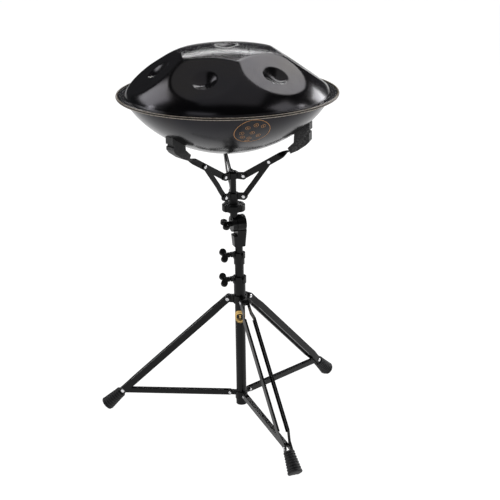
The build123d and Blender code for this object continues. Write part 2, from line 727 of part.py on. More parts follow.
def make_badge():
    """Thin round badge bent around the front of the lower tube."""
    thick = 0.5
    with BuildPart() as badge:
        with BuildSketch(Plane(origin=(0, 0, 278), x_dir=(1, 0, 0), z_dir=(0, -1, 0))):
            Circle(16.5)
        extrude(amount=30)
        with BuildSketch(level(250)):
            Circle(LOWER_TUBE + thick)
            Circle(LOWER_TUBE, mode=Mode.SUBTRACT)
        extrude(amount=60, mode=Mode.INTERSECT)
    save(badge, "badge")


def leg_frame(azimuth):
    return sloped_plane(azimuth, LEG_PIVOT, -LEG_SLOPE)


def strip_outline(outer_faces, depth):
    """Closed outline of a strip in plan: stations along the leg, each with its outer face."""
    return outer_faces + [(station, face - depth) for station, face in reversed(outer_faces)]


def make_leg_strip(name, azimuth, hand):
    """Pressed channel of a leg: an upright web with two inward flanges."""
    frame = leg_frame(azimuth)
    side_view = Plane(origin=frame.origin, x_dir=frame.x_dir, z_dir=frame.x_dir.cross(frame.z_dir))
    end = LEG_LENGTH + FOOT_START + 16
    at_hub = LEG_EAR + SIDE_GAP + STRIP_SHEET
    stations = [
        (-10, at_hub),
        (30, at_hub),
        (48, STRIP_APART),
        (LEG_LENGTH - 42, STRIP_APART),
        (LEG_LENGTH - 14, STRIP_AT_FOOT),
        (end, STRIP_AT_FOOT),
    ]
    flange_stations = stations[2:4]
    with BuildPart() as strip:
        with BuildSketch(frame):
            with BuildLine():
                Polyline(*[(x, hand * y) for x, y in strip_outline(stations, STRIP_SHEET)], close=True)
            make_face()
        extrude(amount=STRIP_TALL / 2, both=True)
        for height in (-STRIP_TALL / 2, STRIP_TALL / 2 - STRIP_SHEET):
            with BuildSketch(frame.offset(height)):
                with BuildLine():
                    outline = strip_outline(flange_stations, FLANGE_DEPTH)
                    Polyline(*[(x, hand * y) for x, y in outline], close=True)
                make_face()
            extrude(amount=STRIP_SHEET)
        with BuildSketch(side_view):
            with Locations((end / 2, 0)):
                Rectangle(end, STRIP_TALL)
            Circle(STRIP_TALL / 2)
            Circle(RIVET_SHANK + SIDE_GAP / 2, mode=Mode.SUBTRACT)
        extrude(amount=30, both=True, mode=Mode.INTERSECT)
    save(strip, name)


def make_foot(side_name, azimuth):
    """Flared, ribbed rubber foot over the strips' ends: open above for the brace, flat below."""
    frame = leg_frame(azimuth)
    start = LEG_LENGTH + FOOT_START
    end = start + FOOT_LENGTH
    grooves = 7
    pitch = 6.2
    groove_width = 2.2
    groove_depth = 1.0
    socket = 16.0
    mouth = 11.0
    with BuildPart() as foot:
        with BuildSketch(frame):
            with BuildLine():
                Polyline(
                    (start, 0),
                    (start, FOOT_RADIUS - 1),
                    (start + 1.5, FOOT_RADIUS),
                    (end - 3, FOOT_TIP_RADIUS),
                    (end, FOOT_TIP_RADIUS - 3),
                    (end + 1, 0),
                    close=True,
                )
            make_face()
        revolve(axis=Axis(frame.origin, frame.x_dir))
        for groove in range(grooves):
            along = 5 + groove * pitch
            radius = FOOT_RADIUS + (FOOT_TIP_RADIUS - FOOT_RADIUS) * along / FOOT_LENGTH
            spot = frame.origin + frame.x_dir * (start + along)
            with BuildSketch(Plane(origin=spot, x_dir=frame.y_dir, z_dir=frame.x_dir)):
                Circle(FOOT_TIP_RADIUS + 2)
                Circle(radius - groove_depth, mode=Mode.SUBTRACT)
            extrude(amount=groove_width, mode=Mode.SUBTRACT)
        with BuildSketch(frame):
            with Locations((start + socket / 2, 0)):
                Rectangle(socket, 2 * STRIP_AT_FOOT)
        extrude(amount=STRIP_TALL / 2, both=True, mode=Mode.SUBTRACT)
        with BuildSketch(frame):
            with Locations((start + mouth / 2, 0)):
                Rectangle(mouth, BRACE_WIDTH + 2 * SIDE_GAP)
        extrude(amount=FOOT_TIP_RADIUS + 2, mode=Mode.SUBTRACT)
        split(bisect_by=Plane.XY, keep=Keep.TOP)
    save(foot, f"foot_{side_name}")


def make_foot_rivet(side_name, azimuth):
    """Rivet head on the outside of a leg strip, where the brace is pinned."""
    frame = leg_frame(azimuth)
    hand = -1 if frame.y_dir.Y > 0 else 1
    spot = frame.origin + frame.x_dir * LEG_LENGTH + frame.y_dir * (hand * STRIP_AT_FOOT)
    with BuildPart() as rivet:
        barrel(Plane(origin=spot, x_dir=frame.x_dir, z_dir=frame.y_dir * hand), RIVET_HEAD + 0.6, HEAD_RISE)
        tips = rivet.edges().filter_by(GeomType.CIRCLE)
        far = max(tips, key=lambda edge: (edge.arc_center - spot).length)
        fillet(far, HEAD_ROUND)
    save(rivet, f"foot_rivet_{side_name}")


def make_brace(side_name, azimuth):
    """Pressed channel, open below, from the sliding hub to the foot rivet."""
    frame = sloped_plane(azimuth, SLIDER_PIVOT, -BRACE_SLOPE)
    side_view = Plane(origin=frame.origin, x_dir=frame.x_dir, z_dir=frame.x_dir.cross(frame.z_dir))
    web_start = 16.0
    with BuildPart() as brace:
        with BuildSketch(side_view):
            with Locations((BRACE_LENGTH / 2, 0)):
                SlotCenterToCenter(BRACE_LENGTH - 3, BRACE_TALL)
            Circle(RIVET_SHANK + SIDE_GAP / 2, mode=Mode.SUBTRACT)
        extrude(amount=BRACE_WIDTH / 2, both=True)
        with BuildSketch(frame.offset(-BRACE_TALL / 2)):
            with Locations((BRACE_LENGTH / 2, 0)):
                Rectangle(BRACE_LENGTH + 20, BRACE_WIDTH - 2 * BRACE_SHEET)
        extrude(amount=BRACE_TALL - BRACE_SHEET, mode=Mode.SUBTRACT)
        with BuildSketch(frame.offset(-BRACE_TALL / 2)):
            with Locations((web_start / 2 - 10, 0)):
                Rectangle(web_start + 20, BRACE_WIDTH - 2 * BRACE_SHEET)
        extrude(amount=BRACE_TALL, mode=Mode.SUBTRACT)
    save(brace, f"brace_{side_name}")


# ---------------------------------------------------------------- build everything
make_top_shell()
make_bottom_shell()
make_seam_adhesive()
make_rim_trim()
make_note_map_print()

make_cradle_post()
make_arm_hub("upper_arm_hub", ARM_PIVOT_HEIGHT, POST_RADIUS)
make_arm_hub("lower_arm_hub", STRUT_PIVOT_HEIGHT, POST_RADIUS + RUNNING_GAP)
make_spread_wheel()
for arm_name, arm_azimuth in ARM_AZIMUTHS.items():
    make_arm(arm_name, arm_azimuth)
    make_arm_rivet(arm_name, arm_azimuth)
    make_strut(arm_name, arm_azimuth)
    make_claw(arm_name, arm_azimuth)
    make_hub_rivet(f"upper_hub_rivet_{arm_name}", arm_azimuth, ARM_PIVOT_HEIGHT)
    make_hub_rivet(f"lower_hub_rivet_{arm_name}", arm_azimuth, STRUT_PIVOT_HEIGHT)

make_tilter_lower_half()
make_tilter_upper_half()
tilt_screw_tip = TILT_AXIS * -8 + Vector(0, 0, TILT_HEIGHT)
wing_screw("tilter_wing_screw", tilt_screw_tip, TILT_AXIS, 27.4, 3.0, -70)

make_tube("inner_tube", INNER_TUBE, 130, 492)
make_tube("mid_tube", MID_TUBE, 95, 430)
make_tube("lower_tube", LOWER_TUBE, 38, 365)
make_collar("upper_collar", MID_TUBE, INNER_TUBE, 414.5, 430, 444, 13.4, 15.3)
make_collar("lower_collar", LOWER_TUBE, MID_TUBE, 337, 365, 382, 14.6, 17.0)

make_leg_hub()
make_brace_hub()
make_end_cap()
make_badge()
for leg_name, leg_azimuth in LEG_AZIMUTHS.items():
    make_leg_strip(f"leg_strip_{leg_name}_a", leg_azimuth, 1)
    make_leg_strip(f"leg_strip_{leg_name}_b", leg_azimuth, -1)
    make_foot(leg_name, leg_azimuth)
    make_foot_rivet(leg_name, leg_azimuth)
    make_brace(leg_name, leg_azimuth)
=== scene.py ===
import math

import bmesh
import bpy
import numpy as np
from mathutils import Matrix, Vector


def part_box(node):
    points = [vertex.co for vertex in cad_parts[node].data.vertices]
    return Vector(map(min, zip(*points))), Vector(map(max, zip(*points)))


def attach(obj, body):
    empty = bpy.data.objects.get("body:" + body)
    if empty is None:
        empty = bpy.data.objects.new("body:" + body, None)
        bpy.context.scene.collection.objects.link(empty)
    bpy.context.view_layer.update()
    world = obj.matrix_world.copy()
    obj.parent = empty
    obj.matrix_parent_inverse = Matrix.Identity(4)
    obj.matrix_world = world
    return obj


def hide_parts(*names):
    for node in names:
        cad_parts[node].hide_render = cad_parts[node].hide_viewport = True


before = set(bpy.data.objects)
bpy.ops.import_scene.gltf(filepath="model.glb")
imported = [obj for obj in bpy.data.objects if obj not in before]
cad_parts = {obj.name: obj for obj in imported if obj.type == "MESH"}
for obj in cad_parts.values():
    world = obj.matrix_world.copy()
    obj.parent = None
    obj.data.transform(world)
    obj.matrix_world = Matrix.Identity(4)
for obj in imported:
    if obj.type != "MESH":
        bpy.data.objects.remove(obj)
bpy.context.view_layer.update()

# A steel handpan that rests in a folding three-arm stand.
# Metres, +Z up. The origin is on the floor, on the axis of the mast. Azimuth turns from +X, in degrees.
MM = 0.001

# ------------------------------------------------------------------ handpan sizes
trim_low, trim_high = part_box("rim_trim")
PAN = (trim_low + trim_high) / 2          # centre of the rim
RIM_RADIUS = (trim_high.x - trim_low.x) / 2
STEEL = 1.2 * MM
FLANGE_GAP = 0.3 * MM                     # from the rim's middle to each flange
FLANGE_REACH = RIM_RADIUS - 2 * MM
FLANGE_FLAT = 255 * MM                    # where the flange has left the rounded corner well behind
SHELL_RADIUS = 244 * MM
SHELL_CORNER = 2.2 * MM                   # between a shell's wall and its flange
DOME_HEIGHT = 128 * MM
DOME_CURVE = (1.78, 1 / 1.35)             # exponents of the round dome's profile
TOP_FIELD_HEIGHT = 112.6 * MM
TOP_FIELD_CURVE = 530 * MM                # radius of the slightly rounded top field
BOWL_DEPTH = 138 * MM
BOWL_CURVE = (1.93, 0.727)                # exponents of the bowl's profile
PORT_RADIUS = 48 * MM
PORT_NECK = 12 * MM
PORT_LIP = 5 * MM                         # rounding between the bowl and the port's neck
SEGMENTS = 360                            # around the shells
# note fields: azimuth, distance from the pan's axis, tilt, depth below the round dome, dimple radius
FIELDS = (
    (-107, 160 * MM, 30.4, 10.5 * MM, 31 * MM),
    (-47, 160 * MM, 30.4, 10.5 * MM, 31 * MM),
    (-167, 160 * MM, 35.3, 10.5 * MM, 31 * MM),
    (13, 160 * MM, 35.3, 10.5 * MM, 31 * MM),
    (58, 165 * MM, 33, 4.5 * MM, 24 * MM),
    (103, 165 * MM, 33, 4.5 * MM, 24 * MM),
    (148, 165 * MM, 33, 4.5 * MM, 24 * MM),
)
TOP_DIMPLE = 34 * MM
DIMPLE_DEPTH = 8 * MM
DIMPLE_SHIFT = 12 * MM                    # of a dimple from the middle of its field, outwards
CREASE = 2.0 * MM                         # softness of the borders between the fields
TRIM_RIBS = 520
TRIM_HALF_HEIGHT = 3.0 * MM
TRIM_DEPTH = 4.0 * MM
PRINT_AZIMUTH = math.radians(-74.2)
PRINT_ALONG = 218 * MM
PRINT_RADIUS = 42 * MM
PRINT_FILM = 0.15 * MM                    # thickness of the ink
# rings of the print: radius and width
PRINT_OUTLINE = (PRINT_RADIUS, 1.2 * MM)
NOTE_RING = (5.6 * MM, 0.7 * MM)
NOTE_DOT = (1.7 * MM, 0.9 * MM)
MARK_DOT = (1.5 * MM, 1.0 * MM)
# places inside the print, as shares of its radius: to the right, and up
PRINT_NOTES = (
    (-0.31, 0.41), (0.12, 0.60), (0.54, 0.46), (-0.58, -0.06),
    (0.0, -0.03), (-0.47, -0.43), (-0.09, -0.57), (0.39, -0.35),
)
PRINT_MARK = ((-0.24, -0.84), (-0.14, -0.84), (-0.04, -0.84))

# ------------------------------------------------------------------ stand sizes
ARM_AZIMUTHS = {"right": -17, "back": 103, "left": -137}
ARM_PIVOT = (27 * MM, 643 * MM)           # distance from the cradle's axis, and height
ARM_SLOPE = 31.5
ARM_TO_STRUT = 75 * MM
LEG_AZIMUTHS = {"left": 170, "front": -68.8, "right": 50}
LEG_PIVOT = (30 * MM, 322 * MM)
FOOT_RIVET = (311 * MM, 53 * MM)
FOOT_START = 9 * MM                       # from the foot rivet, along the leg
FOOT_RIBS = 7
SLIDER_PIVOT = (29 * MM, 66 * MM)
LEG_RUN = FOOT_RIVET[0] - LEG_PIVOT[0]
LEG_DROP = LEG_PIVOT[1] - FOOT_RIVET[1]
LEG_LENGTH = math.hypot(LEG_RUN, LEG_DROP)
LEG_SLOPE = math.atan2(LEG_DROP, LEG_RUN)
post_low, post_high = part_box("cradle_post")
CRADLE = Vector(((post_low.x + post_high.x) / 2, (post_low.y + post_high.y) / 2, 0))
TUBE_RADIUS = 12.7 * MM
BADGE_HEIGHT = 278 * MM
# rivet heads: distance of the head from the middle of its bar, and radius
HUB_PIN = (10.2 * MM, 4.6 * MM)
BRACE_PIN = (6 * MM, 3.6 * MM)
FOOT_PIN = (9.6 * MM, 4.8 * MM)
STRUT_PIN = (4.5 * MM, 4.2 * MM)
PIN_RISE = 1.6 * MM

# ------------------------------------------------------------------ lights and camera
# softboxes: azimuth, elevation, distance, width, height, radiance
SOFTBOXES = {
    "light_back": (62, 47, 3.6, 2.4, 0.9, 4.2),
    "light_top": (0, 88, 3.2, 3.0, 3.0, 0.55),
    "light_left": (160, 36, 3.4, 1.6, 1.6, 4.4),
    "light_right": (36, 12, 3.8, 1.2, 1.8, 10.0),
    "light_fill": (-18, 36, 3.6, 1.4, 1.4, 2.2),
    "light_front": (-120, 30, 4.2, 2.0, 1.6, 1.0),
    "strip_shoulder": (96, 50, 3.6, 1.2, 0.2, 12),
    "strip_low": (88, 27, 3.6, 2.2, 0.1, 16),
    "strip_left": (176, 12, 3.4, 0.25, 2.0, 14),
    "strip_right": (2, 12, 3.4, 0.25, 2.0, 14),
}
LIT_POINT = Vector((0, 0, 0.75))          # what the softboxes face
ROOM_GLOW = (0.045, 0.045, 0.05, 1)       # of the dark room around the object
FLOOR_GLOW = 0.85                         # of the floor, as the object sees it
FLOOR_REACH = 40

CAMERA_PLACE = Vector((0.064, -3.346, 1.602))
CAMERA_PITCH = math.radians(-19.007)
CAMERA_YAW = math.radians(0.633)
CAMERA_ROLL = math.radians(-0.856)
LENS = 103.4


# ------------------------------------------------------------------ mesh helpers
def add_object(name, mesh, body, slot):
    """Link a finished mesh as a piece that rides on a body and takes a slot's finish."""
    piece = bpy.data.objects.new(name, mesh)
    bpy.context.scene.collection.objects.link(piece)
    mesh.materials.append(MATERIALS[slot])
    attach(piece, body)
    return piece


def add_rings(build, rings, closed=False):
    """Skin rings of points, all with the same count, into a mesh that is being built."""
    rows = [[build.verts.new(point) for point in ring] for ring in rings]
    count = len(rows[0])
    pairs = list(zip(rows, rows[1:]))
    if closed:
        pairs.append((rows[-1], rows[0]))
    for row, following in pairs:
        for index in range(count):
            after = (index + 1) % count
            build.faces.new((row[index], row[after], following[after], following[index]))
    return rows


def finish_mesh(name, build):
    """Close a mesh that was built, with smooth faces."""
    bmesh.ops.recalc_face_normals(build, faces=build.faces)
    mesh = bpy.data.meshes.new(name)
    build.to_mesh(mesh)
    build.free()
    for face in mesh.polygons:
        face.use_smooth = True
    return mesh


def mesh_from_rings(name, rings, pole=None, closed=False):
    """One mesh from rings of points; a pole closes the first ring to a point."""
    build = bmesh.new()
    rows = add_rings(build, rings, closed)
    count = len(rows[0])
    if pole is not None:
        middle = build.verts.new(pole)
        for index in range(count):
            build.faces.new((middle, rows[0][(index + 1) % count], rows[0][index]))
    return finish_mesh(name, build)


def face_away(mesh, centre):
    """Turn an open skin's faces so that they look away from a centre."""
    outward = sum(face.area * face.normal.dot(face.center - centre) for face in mesh.polygons)
    if outward < 0:
        mesh.flip_normals()


def lathe(name, profile, centre, axis=Vector((0, 0, 1)), segments=48):
    """Turn a profile of (radius, height) about an axis through a centre."""
    side = axis.orthogonal().normalized()
    other = axis.cross(side)
    turns = [math.tau * step / segments for step in range(segments)]
    rings = []
    for radius, height in profile:
        rings.append([
            centre + axis * height + (side * math.cos(turn) + other * math.sin(turn)) * radius
            for turn in turns
        ])
    return mesh_from_rings(name, rings)


# ------------------------------------------------------------------ material helpers
def new_material(name, **sockets):
    """A principled material with constants set on its own sockets."""
    material = bpy.data.materials.new(name)
    material.use_nodes = True
    shader = material.node_tree.nodes["Principled BSDF"]
    for socket, value in sockets.items():
        shader.inputs[socket.replace("_", " ")].default_value = value
    return material


def shader_input(material, socket):
    return material.node_tree.nodes["Principled BSDF"].inputs[socket]


def grain(material, scale, detail=3.0, stretch=(1, 1, 1)):
    """Noise that is fixed to the object; returns the factor socket."""
    nodes = material.node_tree.nodes
    links = material.node_tree.links
    place = nodes.new("ShaderNodeTexCoord")
    mapping = nodes.new("ShaderNodeMapping")
    mapping.inputs["Scale"].default_value = stretch
    noise = nodes.new("ShaderNodeTexNoise")
    noise.inputs["Scale"].default_value = scale
    noise.inputs["Detail"].default_value = detail
    links.new(place.outputs["Object"], mapping.inputs["Vector"])
    links.new(mapping.outputs["Vector"], noise.inputs["Vector"])
    return noise.outputs["Fac"]


def ramp(material, factor, stops):
    """Colour ramp over a factor; stops are (place, colour)."""
    node = material.node_tree.nodes.new("ShaderNodeValToRGB")
    material.node_tree.links.new(factor, node.inputs["Fac"])
    elements = node.color_ramp.elements
    while len(elements) < len(stops):
        elements.new(0.5)
    for element, (place, colour) in zip(elements, stops):
        element.position = place
        element.color = (*colour, 1)
    return node.outputs["Color"]


def spread(material, factor, low, high):
    """Map a factor's middle range onto low..high."""
    node = material.node_tree.nodes.new("ShaderNodeMapRange")
    node.inputs["From Min"].default_value = 0.3
    node.inputs["From Max"].default_value = 0.7
    node.inputs["To Min"].default_value = low
    node.inputs["To Max"].default_value = high
    material.node_tree.links.new(factor, node.inputs["Value"])
    return node.outputs["Result"]


def mix(material, factor, first, second):
    """Blend two colour sockets by a factor socket."""
    node = material.node_tree.nodes.new("ShaderNodeMix")
    node.data_type = "RGBA"
    links = material.node_tree.links
    links.new(factor, node.inputs["Factor"])
    links.new(first, node.inputs["A"])
    links.new(second, node.inputs["B"])
    return node.outputs["Result"]


def edge_wear_and_highlight_mask(material, start, end):
    """0 on flats and 1 on convex edges."""
    nodes = material.node_tree.nodes
    geometry = nodes.new("ShaderNodeNewGeometry")
    node = nodes.new("ShaderNodeMapRange")
    node.inputs["From Min"].default_value = start
    node.inputs["From Max"].default_value = end
    material.node_tree.links.new(geometry.outputs["Pointiness"], node.inputs["Value"])
    return node.outputs["Result"]


def relief(material, layers):
    """Stack bumps; layers are (height socket, distance in metres)."""
    nodes = material.node_tree.nodes
    links = material.node_tree.links
    previous = None
    for height, distance in layers:
        bump = nodes.new("ShaderNodeBump")
        bump.inputs["Strength"].default_value = 1.0
        bump.inputs["Distance"].default_value = distance
        links.new(height, bump.inputs["Height"])
        if previous is not None:
            links.new(previous, bump.inputs["Normal"])
        previous = bump.outputs["Normal"]
    links.new(previous, shader_input(material, "Normal"))


def paint(material, socket, source):
    material.node_tree.links.new(source, shader_input(material, socket))


# ------------------------------------------------------------------ materials
def nitrided_steel():
    """Satin blue-black heat-treated steel, with soft clouds and a fine brushed grain."""
    material = new_material("nitrided_steel", Metallic=1.0)
    clouds = grain(material, 6, 3)
    tint = ramp(material, clouds, [
        (0.30, (0.026, 0.026, 0.030)),
        (0.50, (0.030, 0.029, 0.032)),
        (0.72, (0.035, 0.033, 0.032)),
    ])
    paint(material, "Base Color", tint)
    paint(material, "Roughness", spread(material, grain(material, 40, 5), 0.17, 0.22))
    relief(material, [(grain(material, 9, 2), 0.00006), (grain(material, 300, 2), 0.000002)])
    return material


def black_paint():
    """Semi-gloss powder coat over steel, with a painted highlight: paler colour along its convex edges."""
    material = new_material("black_paint", Specular_IOR_Level=0.16, Coat_Weight=0.12, Coat_Roughness=0.12)
    body = ramp(material, grain(material, 35, 5), [
        (0.35, (0.0020, 0.0020, 0.0023)),
        (0.65, (0.0042, 0.0042, 0.0045)),
    ])
    # paler colour on convex edges: painted highlights along the edges of the paint
    painted_edge_highlight = ramp(material, grain(material, 120, 4), [
        (0.40, (0.05, 0.05, 0.051)),
        (0.62, (0.16, 0.16, 0.162)),
    ])
    paint(material, "Base Color", mix(material, edge_wear_and_highlight_mask(material, 0.55, 0.68), body, painted_edge_highlight))
    paint(material, "Roughness", spread(material, grain(material, 90, 5), 0.26, 0.36))
    relief(material, [(grain(material, 1400, 2), 0.000006)])
    return material


def black_plastic():
    """Moulded plastic with a fine leather-like texture."""
    material = new_material("black_plastic", Specular_IOR_Level=0.2)
    body = ramp(material, grain(material, 60, 5), [
        (0.35, (0.0030, 0.0030, 0.0034)),
        (0.65, (0.0060, 0.0060, 0.0064)),
    ])
    dusty = ramp(material, grain(material, 160, 4), [
        (0.45, (0.03, 0.03, 0.031)),
        (0.62, (0.07, 0.07, 0.072)),
    ])
    paint(material, "Base Color", mix(material, edge_wear_and_highlight_mask(material, 0.55, 0.72), body, dusty))
    paint(material, "Roughness", spread(material, grain(material, 300, 4), 0.36, 0.50))
    relief(material, [(grain(material, 1800, 3), 0.00006)])
    return material


def zinc():
    """Bright plated rivets with fine scratches and darker spots."""
    material = new_material("zinc", Metallic=1.0)
    tone = ramp(material, grain(material, 700, 4), [
        (0.35, (0.55, 0.55, 0.57)),
        (0.60, (0.86, 0.86, 0.87)),
    ])
    paint(material, "Base Color", tone)
    paint(material, "Roughness", spread(material, grain(material, 900, 4), 0.16, 0.34))
    relief(material, [(grain(material, 2500, 2), 0.00002)])
    return material


def rubber(name, dark, light, dust, roughness):
    """Soft rubber: mottled tone, pale bloom on its edges, fine grain."""
    material = new_material(name, Specular_IOR_Level=0.28)
    body = ramp(material, grain(material, 80, 5), [(0.35, dark), (0.65, light)])
    bloom = ramp(material, grain(material, 260, 4), [(0.40, light), (0.65, dust)])
    paint(material, "Base Color", mix(material, edge_wear_and_highlight_mask(material, 0.53, 0.68), body, bloom))
    patches = grain(material, 400, 4)
    paint(material, "Roughness", spread(material, patches, roughness - 0.07, roughness + 0.07))
    relief(material, [(grain(material, 1600, 3), 0.00008)])
    return material


def claw_rubber():
    return rubber("claw_rubber", (0.012, 0.012, 0.013), (0.022, 0.022, 0.023), (0.10, 0.10, 0.10), 0.50)


def foot_rubber():
    return rubber("foot_rubber", (0.010, 0.010, 0.011), (0.018, 0.018, 0.019), (0.07, 0.07, 0.07), 0.55)


def trim_rubber():
    """Ribbed edging: dark rubber with a painted highlight, a pale band, along both of its edges."""
    material = rubber("trim_rubber", (0.006, 0.005, 0.004), (0.014, 0.012, 0.010), (0.20, 0.17, 0.14), 0.34)
    nodes = material.node_tree.nodes
    links = material.node_tree.links
    dark = shader_input(material, "Base Color").links[0].from_socket
    place = nodes.new("ShaderNodeTexCoord")
    split = nodes.new("ShaderNodeSeparateXYZ")
    links.new(place.outputs["Object"], split.inputs["Vector"])
    height = nodes.new("ShaderNodeMapRange")
    height.inputs["From Min"].default_value = PAN.z - TRIM_HALF_HEIGHT
    height.inputs["From Max"].default_value = PAN.z + TRIM_HALF_HEIGHT
    links.new(split.outputs["Z"], height.inputs["Value"])
    on, off = (1, 1, 1), (0, 0, 0)
    # pale bands near the top and bottom of the trim's height: painted highlights along its two edges
    painted_highlight_bands = ramp(material, height.outputs["Result"], [(0.30, on), (0.37, off), (0.80, off), (0.87, on)])
    pale = ramp(material, grain(material, 300, 4), [(0.35, (0.16, 0.13, 0.10)), (0.65, (0.42, 0.37, 0.31))])
    paint(material, "Base Color", mix(material, painted_highlight_bands, dark, pale))
    return material


def seam_black():
    return rubber("seam_black", (0.006, 0.006, 0.006), (0.012, 0.012, 0.012), (0.02, 0.02, 0.02), 0.45)


def copper_ink():
    """Metallic copper print, slightly uneven."""
    material = new_material("copper_ink", Metallic=0.55)
    tone = ramp(material, grain(material, 500, 4), [
        (0.35, (0.36, 0.16, 0.05)),
        (0.65, (0.60, 0.30, 0.11)),
    ])
    paint(material, "Base Color", tone)
    paint(material, "Roughness", spread(material, grain(material, 700, 3), 0.38, 0.52))
    return material


def gold_badge():
    """Brushed gold-coloured sheet with darker streaks."""
    material = new_material("gold_badge", Metallic=1.0)
    tone = ramp(material, grain(material, 420, 4, (1, 1, 8)), [
        (0.35, (0.48, 0.30, 0.10)),
        (0.62, (0.80, 0.56, 0.22)),
    ])
    paint(material, "Base Color", tone)
    paint(material, "Roughness", spread(material, grain(material, 600, 4), 0.26, 0.42))
    relief(material, [(grain(material, 1500, 2, (1, 1, 10)), 0.00002)])
    return material


MATERIALS = {make.__name__: make() for make in (
    nitrided_steel, black_paint, black_plastic, zinc, claw_rubber, foot_rubber, trim_rubber,
    seam_black, copper_ink, gold_badge,
)}


# ------------------------------------------------------------------ handpan
def dome_height(radius):
    """Height of the round dome above its flange; works on arrays."""
    shoulder, sharpness = DOME_CURVE
    share = np.minimum(radius / SHELL_RADIUS, 1.0)
    return DOME_HEIGHT * (1 - share**shoulder) ** sharpness


def bowl_depth(radius):
    """Depth of the bowl below its flange; works on arrays."""
    shoulder, sharpness = BOWL_CURVE
    share = np.minimum(radius / SHELL_RADIUS, 1.0)
    return BOWL_DEPTH * (1 - share**shoulder) ** sharpness


def soft_lower(first, second, blend):
    """The lower of two heights, rounded where they meet."""
    near = np.maximum(0, 1 - np.abs(first - second) / blend)
    return np.minimum(first, second) - near**2 * blend / 4


def dimple_drop(distance, radius):
    """How far a round dimple falls at a distance from its middle."""
    share = np.minimum(distance / radius, 1.0)
    return DIMPLE_DEPTH * (1 - share**2) ** 1.25


def field_shape(x, y, azimuth, reach, tilt, cut):
    """Height of a tilted note field and the distance from its dimple's middle."""
    turn = math.radians(azimuth)
    lean = math.radians(tilt)
    along = x * math.cos(turn) + y * math.sin(turn)
    across = y * math.cos(turn) - x * math.sin(turn)
    middle = reach - cut * math.sin(lean)
    top = dome_height(reach) - cut * math.cos(lean)
    height = top - (along - middle) * math.tan(lean)
    distance = np.hypot((along - middle) / math.cos(lean) - DIMPLE_SHIFT, across)
    return height, distance


def top_shell_height(x, y):
    """Outer skin of the top shell above its flange, for arrays of places around the pan's axis."""
    radius = np.hypot(x, y)
    top_field = TOP_FIELD_HEIGHT - radius**2 / (2 * TOP_FIELD_CURVE)
    height = soft_lower(dome_height(radius), top_field, CREASE)
    dimples = dimple_drop(radius, TOP_DIMPLE)
    for azimuth, reach, tilt, cut, dimple in FIELDS:
        field, distance = field_shape(x, y, azimuth, reach, tilt, cut)
        height = soft_lower(height, field, CREASE)
        dimples = dimples + dimple_drop(distance, dimple) / math.cos(math.radians(tilt))
    return height - dimples


def shell_radii():
    """Radii of the dome's rings: even on top, closer together where it gets steep."""
    shoulder = 226 * MM
    top_rings, steep_rings = 100, 14
    even = [shoulder * step / top_rings for step in range(1, top_rings + 1)]
    steep = []
    for step in range(1, steep_rings):
        eased = 1 - (1 - step / steep_rings) ** 2
        steep.append(shoulder + (SHELL_RADIUS - shoulder) * eased)
    return even + steep


def corner_rings():
    """(radius, height) down the rounded corner between a shell's wall and its flange."""
    steps = 5
    rings = []
    for step in range(steps + 1):
        turn = math.pi / 2 * step / steps
        rings.append((
            SHELL_RADIUS + SHELL_CORNER * (1 - math.cos(turn)),
            SHELL_CORNER * (1 - math.sin(turn)),
        ))
    return rings


def make_top_skin():
    """Top shell with its hammered note fields, replacing the coarser CAD shell."""
    turns = np.linspace(0, math.tau, SEGMENTS, endpoint=False)
    base = PAN.z + FLANGE_GAP + STEEL
    rings = []
    for radius in shell_radii():
        x, y = radius * np.cos(turns), radius * np.sin(turns)
        z = np.maximum(top_shell_height(x, y), SHELL_CORNER)
        rings.append([Vector((PAN.x + a, PAN.y + b, base + c)) for a, b, c in zip(x, y, z)])
    for radius, height in [*corner_rings(), (FLANGE_FLAT, 0), (FLANGE_REACH, 0)]:
        rings.append([
            Vector((PAN.x + radius * math.cos(turn), PAN.y + radius * math.sin(turn), base + height))
            for turn in turns
        ])
    pole = Vector((PAN.x, PAN.y, base + TOP_FIELD_HEIGHT - DIMPLE_DEPTH))
    mesh = mesh_from_rings("pan_top_skin", rings, pole)
    face_away(mesh, PAN)
    piece = add_object("pan_top_skin", mesh, "pan", "nitrided_steel")
    thicken(piece)
    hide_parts("top_shell")


def thicken(piece):
    """Give an outer skin the thickness of the steel, inwards."""
    solid = piece.modifiers.new("steel", "SOLIDIFY")
    solid.thickness = STEEL
    solid.offset = -1


def make_bowl_skin():
    """Bottom shell with its flange and the rolled neck of the sound port."""
    base = PAN.z - FLANGE_GAP - STEEL
    outline = [(FLANGE_REACH, 0), (FLANGE_FLAT, 0)]
    outline += [(radius, -height) for radius, height in reversed(corner_rings())]
    wall_rings = 60
    radii = [SHELL_RADIUS * (1 - (1 - step / wall_rings) ** 2) for step in range(wall_rings)]
    for radius in reversed(radii):
        depth = float(bowl_depth(radius))
        if radius > PORT_RADIUS + PORT_LIP and depth > SHELL_CORNER:
            outline.append((radius, -depth))
    rolled = float(bowl_depth(PORT_RADIUS + PORT_LIP))
    for step in range(1, 7):
        turn = math.pi / 2 * step / 6
        radius = PORT_RADIUS + PORT_LIP * (1 - math.sin(turn))
        outline.append((radius, PORT_LIP * (1 - math.cos(turn)) - rolled))
    outline.append((PORT_RADIUS, PORT_NECK - rolled))
    mesh = lathe("pan_bowl_skin", outline, Vector((PAN.x, PAN.y, base)), segments=SEGMENTS)
    face_away(mesh, PAN)
    piece = add_object("pan_bowl_skin", mesh, "pan", "nitrided_steel")
    thicken(piece)
    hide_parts("bottom_shell")


